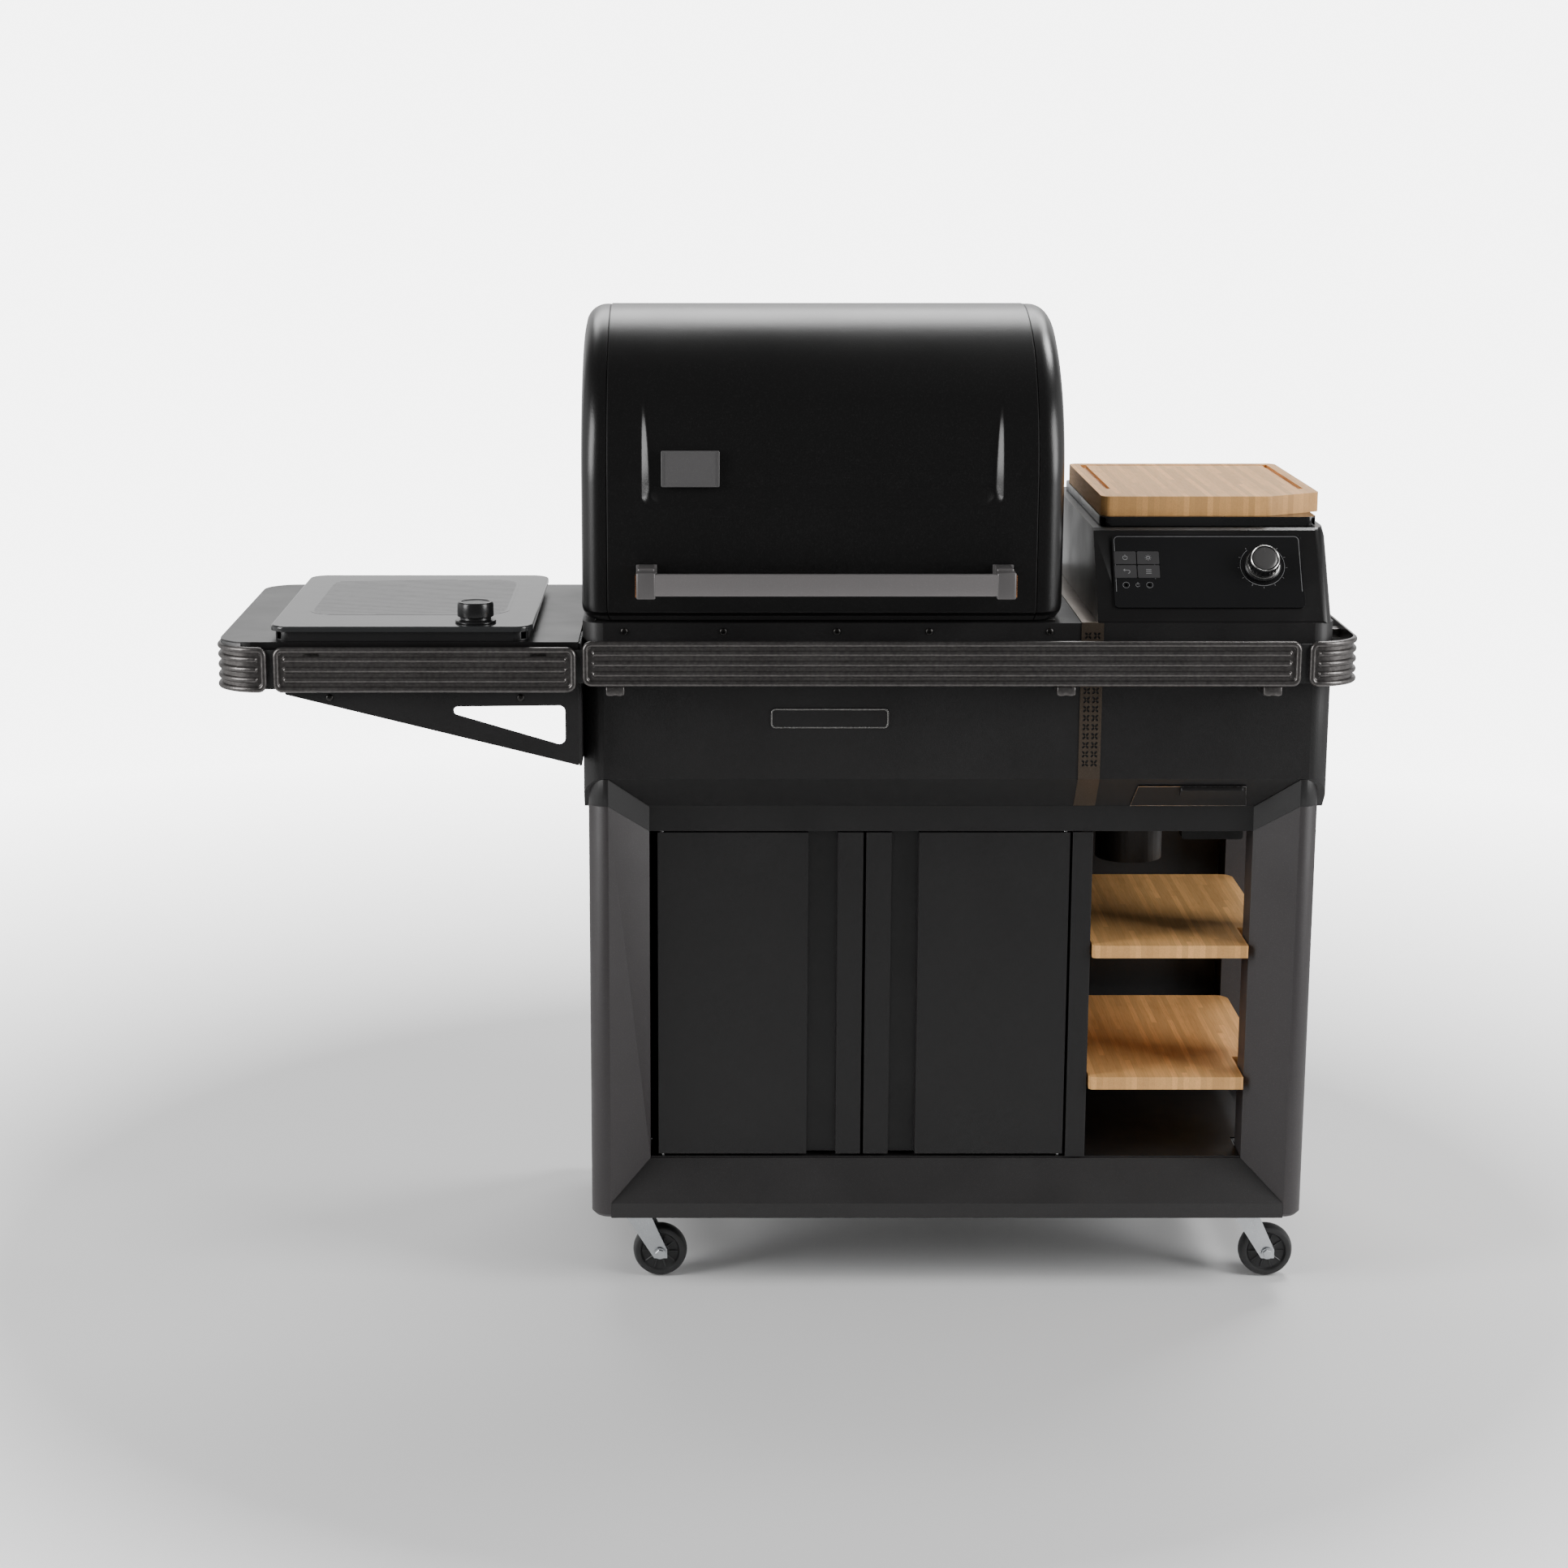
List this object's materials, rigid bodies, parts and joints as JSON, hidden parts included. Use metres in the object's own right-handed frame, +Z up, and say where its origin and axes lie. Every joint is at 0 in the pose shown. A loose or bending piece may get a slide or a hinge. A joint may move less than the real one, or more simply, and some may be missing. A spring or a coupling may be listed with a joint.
{
  "type": "pellet smoker grill",
  "caption": "Cabinet-cart pellet smoker grill with a barrel hood, sloped hopper console, side shelf with induction cooktop, ribbed accessory rails and casters.",
  "frame": {"origin": "on the floor under the middle of the outline", "axes": "+X to the right seen from the front, +Y towards the back, +Z up"},
  "size_m": [1.499, 0.65, 1.333],
  "materials": {
    "hood_enamel": "semi-gloss black porcelain enamel",
    "body_powder": "satin black powder coat",
    "frame_powder": "fine-textured graphite powder coat",
    "door_powder": "satin black powder coat",
    "rail_metal": "dark metallic grey coat",
    "liner_steel": "folded stainless sheet",
    "grate_enamel": "porcelain enamelled",
    "accent_bronze": "bronze coat",
    "bamboo": "oiled bamboo strips",
    "cooktop_ceramic": "black glass ceramic",
    "cooktop_plastic": "moulded black",
    "panel_gloss": "gloss black display window",
    "key_grey": "soft-touch keys",
    "knob_dark": "turned, dark anodised",
    "handle_metal": "warm grey anodised",
    "handle_cast": "warm grey cast ends",
    "badge_metal": "brushed, plain",
    "nameplate_metal": "satin frame",
    "zinc": "zinc plated",
    "wheel_black": "hard rubber tread on a moulded core",
    "fastener_steel": "plated",
    "motor_black": "moulded",
    "duct_powder": "satin black powder coat"
  },
  "bodies": {
    "cart": {"corner_legs": "frame_powder", "lower_frame": "frame_powder", "top_frame": "frame_powder", "cabinet_shell": "body_powder", "divider": "frame_powder", "bay_boards": "bamboo", "caster_plates": "zinc", "chamber_casing": "body_powder", "chamber_liner": "liner_steel", "cooking_grates": "grate_enamel", "drip_tray": "liner_steel", "fire_pot": "liner_steel", "temperature_probe": "liner_steel", "auger_tube": "liner_steel", "auger_motor": "motor_black", "blower_housing": "motor_black", "controller_box": "motor_black", "exhaust_duct": "duct_powder", "power_inlet": "motor_black", "nameplate": "nameplate_metal", "hopper_casing": "body_powder", "hopper_bin": "liner_steel", "display_panel": "panel_gloss", "accent_strip": "accent_bronze", "side_shelf": "body_powder", "shelf_bracket": "body_powder", "cooktop_body": "cooktop_plastic", "cooktop_glass": "cooktop_ceramic", "front_rail": "rail_metal", "shelf_rail": "rail_metal", "left_corner_rail": "rail_metal", "right_corner_rail": "rail_metal", "casing_screws": "fastener_steel", "hinge_pins": "fastener_steel"},
    "hood": {"hood_shell": "hood_enamel", "hood_handle": "handle_metal", "handle_blocks": "handle_cast", "hood_badge": "badge_metal"},
    "hopper_lid": {"hopper_lid": "body_powder"},
    "cutting_board": {"cutting_board": "bamboo"},
    "left_door": {"left_door": "door_powder"},
    "right_door": {"right_door": "door_powder"},
    "control_knob": {"control_knob": "knob_dark"},
    "cooktop_knob": {"cooktop_knob": "knob_dark"},
    "auger": {"auger_screw": "liner_steel"},
    "fan": {"fan_impeller": "motor_black"},
    "ash_keg": {"ash_keg": "liner_steel"},
    "cleanout_door": {"cleanout_door": "accent_bronze"},
    "button_1": {"button_1": "key_grey"},
    "button_2": {"button_2": "key_grey"},
    "button_3": {"button_3": "key_grey"},
    "button_4": {"button_4": "key_grey"},
    "caster_front_left": {"caster_fork_front_left": "zinc"},
    "wheel_front_left": {"caster_wheel_front_left": "wheel_black"},
    "caster_front_right": {"caster_fork_front_right": "zinc"},
    "wheel_front_right": {"caster_wheel_front_right": "wheel_black"},
    "caster_rear_left": {"caster_fork_rear_left": "zinc"},
    "wheel_rear_left": {"caster_wheel_rear_left": "wheel_black"},
    "caster_rear_right": {"caster_fork_rear_right": "zinc"},
    "wheel_rear_right": {"caster_wheel_rear_right": "wheel_black"}
  },
  "joints": [
    {"name": "hood_hinge", "type": "hinge", "parent": "cart", "child": "hood", "pos_m": [0.046, 0.268, 0.946], "axis": [-1, 0, 0], "range_deg": [0, 85]},
    {"name": "hopper_lid_hinge", "type": "hinge", "parent": "cart", "child": "hopper_lid", "pos_m": [0.562, 0.242, 1.057], "axis": [-1, 0, 0], "range_deg": [0, 80]},
    {"name": "cutting_board_lift", "type": "slide", "parent": "hopper_lid", "child": "cutting_board", "axis": [0, 0, 1], "range_m": [0, 0.1]},
    {"name": "left_door_hinge", "type": "hinge", "parent": "cart", "child": "left_door", "pos_m": [-0.166, -0.224, 0.4], "axis": [0, 0, -1], "range_deg": [0, 105]},
    {"name": "right_door_hinge", "type": "hinge", "parent": "cart", "child": "right_door", "pos_m": [0.377, -0.224, 0.4], "axis": [0, 0, 1], "range_deg": [0, 105]},
    {"name": "control_knob_spin", "type": "hinge", "parent": "cart", "child": "control_knob", "pos_m": [0.627, -0.23466, 1.00854], "axis": [0, -0.8321, 0.5547], "continuous": true},
    {"name": "cooktop_knob_spin", "type": "hinge", "parent": "cart", "child": "cooktop_knob", "pos_m": [-0.409, -0.262, 0.94], "axis": [0, 0, 1], "continuous": true},
    {"name": "auger_spin", "type": "hinge", "parent": "cart", "child": "auger", "pos_m": [0.3, -0.005, 0.762], "axis": [1, 0, 0], "continuous": true},
    {"name": "fan_spin", "type": "hinge", "parent": "cart", "child": "fan", "pos_m": [0.48, 0.19, 0.79], "axis": [0, 1, 0], "continuous": true},
    {"name": "ash_keg_slide", "type": "slide", "parent": "cart", "child": "ash_keg", "axis": [0, -1, 0], "range_m": [0, 0.2]},
    {"name": "cleanout_hinge", "type": "hinge", "parent": "cart", "child": "cleanout_door", "pos_m": [0.539, -0.23308, 0.68145], "axis": [1, 0, 0], "range_deg": [0, 80]},
    {"name": "button_1_press", "type": "slide", "parent": "cart", "child": "button_1", "axis": [0, 0.8321, -0.5547], "range_m": [0, 0.0008], "stiffness_N_per_m": 400},
    {"name": "button_2_press", "type": "slide", "parent": "cart", "child": "button_2", "axis": [0, 0.8321, -0.5547], "range_m": [0, 0.0008], "stiffness_N_per_m": 400},
    {"name": "button_3_press", "type": "slide", "parent": "cart", "child": "button_3", "axis": [0, 0.8321, -0.5547], "range_m": [0, 0.0008], "stiffness_N_per_m": 400},
    {"name": "button_4_press", "type": "slide", "parent": "cart", "child": "button_4", "axis": [0, 0.8321, -0.5547], "range_m": [0, 0.0008], "stiffness_N_per_m": 400},
    {"name": "swivel_front_left", "type": "hinge", "parent": "cart", "child": "caster_front_left", "pos_m": [-0.205, -0.195, 0.097], "axis": [0, 0, 1], "continuous": true},
    {"name": "roll_front_left", "type": "hinge", "parent": "caster_front_left", "child": "wheel_front_left", "pos_m": [-0.171, -0.195, 0.0375], "axis": [0, 1, 0], "continuous": true},
    {"name": "swivel_front_right", "type": "hinge", "parent": "cart", "child": "caster_front_right", "pos_m": [0.64, -0.195, 0.097], "axis": [0, 0, 1], "continuous": true},
    {"name": "roll_front_right", "type": "hinge", "parent": "caster_front_right", "child": "wheel_front_right", "pos_m": [0.674, -0.195, 0.0375], "axis": [0, 1, 0], "continuous": true},
    {"name": "swivel_rear_left", "type": "hinge", "parent": "cart", "child": "caster_rear_left", "pos_m": [-0.205, 0.185, 0.097], "axis": [0, 0, 1], "continuous": true},
    {"name": "roll_rear_left", "type": "hinge", "parent": "caster_rear_left", "child": "wheel_rear_left", "pos_m": [-0.171, 0.185, 0.0375], "axis": [0, 1, 0], "continuous": true},
    {"name": "swivel_rear_right", "type": "hinge", "parent": "cart", "child": "caster_rear_right", "pos_m": [0.64, 0.185, 0.097], "axis": [0, 0, 1], "continuous": true},
    {"name": "roll_rear_right", "type": "hinge", "parent": "caster_rear_right", "child": "wheel_rear_right", "pos_m": [0.674, 0.185, 0.0375], "axis": [0, 1, 0], "continuous": true}
  ]
}
